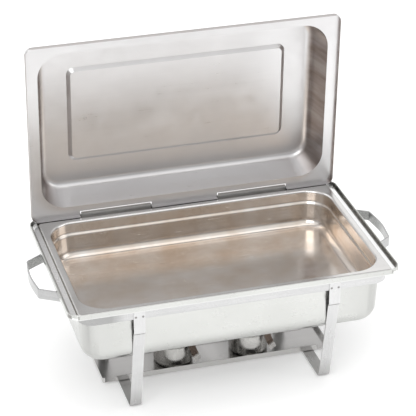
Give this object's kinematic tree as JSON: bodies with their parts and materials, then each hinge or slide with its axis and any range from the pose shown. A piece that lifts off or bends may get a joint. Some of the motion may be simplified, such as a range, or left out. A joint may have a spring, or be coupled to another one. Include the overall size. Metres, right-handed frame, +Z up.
{
  "type": "chafing dish food warmer",
  "caption": "Pillarless buffet food warmer: strap stand, drawn water pan and food pan, domed lid standing open on rear lugs, and lidded fuel burners on a low tray.",
  "frame": {"origin": "centre of the whole part's box, on the plane its skids stand on", "axes": "+X to the right along the pans' long side, +Y to the rear where the lid stands, +Z up; the serving side faces -Y"},
  "size_m": [0.6256, 0.412, 0.5533],
  "materials": {
    "stand_strap": "satin brushed",
    "leg_strap": "satin brushed",
    "tray_steel": "bright rolled sheet",
    "handle_strap": "brushed along the strap",
    "water_pan_steel": "bright satin",
    "lug_steel": "satin",
    "food_pan_steel": "bright satin",
    "lid_steel": "bright satin",
    "burner_steel": "polished",
    "shutter_steel": "polished",
    "lever_steel": "heat-darkened",
    "rivet_steel": "satin"
  },
  "bodies": {
    "stand": {"stand_ring": "stand_strap", "leg_strap_left": "leg_strap", "leg_strap_right": "leg_strap", "fuel_tray": "tray_steel", "carry_handle_left": "handle_strap", "carry_handle_right": "handle_strap"},
    "water_pan_body": {"water_pan": "water_pan_steel", "lid_lug_left": "lug_steel", "lid_lug_right": "lug_steel"},
    "food_pan_body": {"food_pan": "food_pan_steel"},
    "lid": {"lid_shell": "lid_steel", "lid_handle": "handle_strap"},
    "burner_left": {"burner_cup_left": "burner_steel", "burner_cover_left": "burner_steel"},
    "regulator_left": {"burner_shutter_left": "shutter_steel", "burner_lever_left": "lever_steel", "burner_rivet_left": "rivet_steel"},
    "burner_right": {"burner_cup_right": "burner_steel", "burner_cover_right": "burner_steel"},
    "regulator_right": {"burner_shutter_right": "shutter_steel", "burner_lever_right": "lever_steel", "burner_rivet_right": "rivet_steel"}
  },
  "joints": [
    {"name": "water_pan_lift", "type": "slide", "parent": "stand", "child": "water_pan_body", "axis": [0, 0, 1], "range_m": [0, 0.15]},
    {"name": "food_pan_lift", "type": "slide", "parent": "water_pan_body", "child": "food_pan_body", "axis": [0, 0, 1], "range_m": [0, 0.12]},
    {"name": "lid_swing", "type": "hinge", "parent": "water_pan_body", "child": "lid", "pos_m": [0, 0.12581, 0.22189], "axis": [-1, 0, 0], "range_deg": [-86.17, 0]},
    {"name": "burner_lift_left", "type": "slide", "parent": "stand", "child": "burner_left", "axis": [0, 0, 1], "range_m": [0, 0.05]},
    {"name": "regulator_turn_left", "type": "hinge", "parent": "burner_left", "child": "regulator_left", "pos_m": [-0.068, -0.03307, 0.0405], "axis": [0, 0, 1], "range_deg": [0, 90]},
    {"name": "burner_lift_right", "type": "slide", "parent": "stand", "child": "burner_right", "axis": [0, 0, 1], "range_m": [0, 0.05]},
    {"name": "regulator_turn_right", "type": "hinge", "parent": "burner_right", "child": "regulator_right", "pos_m": [0.068, -0.03307, 0.0405], "axis": [0, 0, 1], "range_deg": [0, 90]}
  ]
}
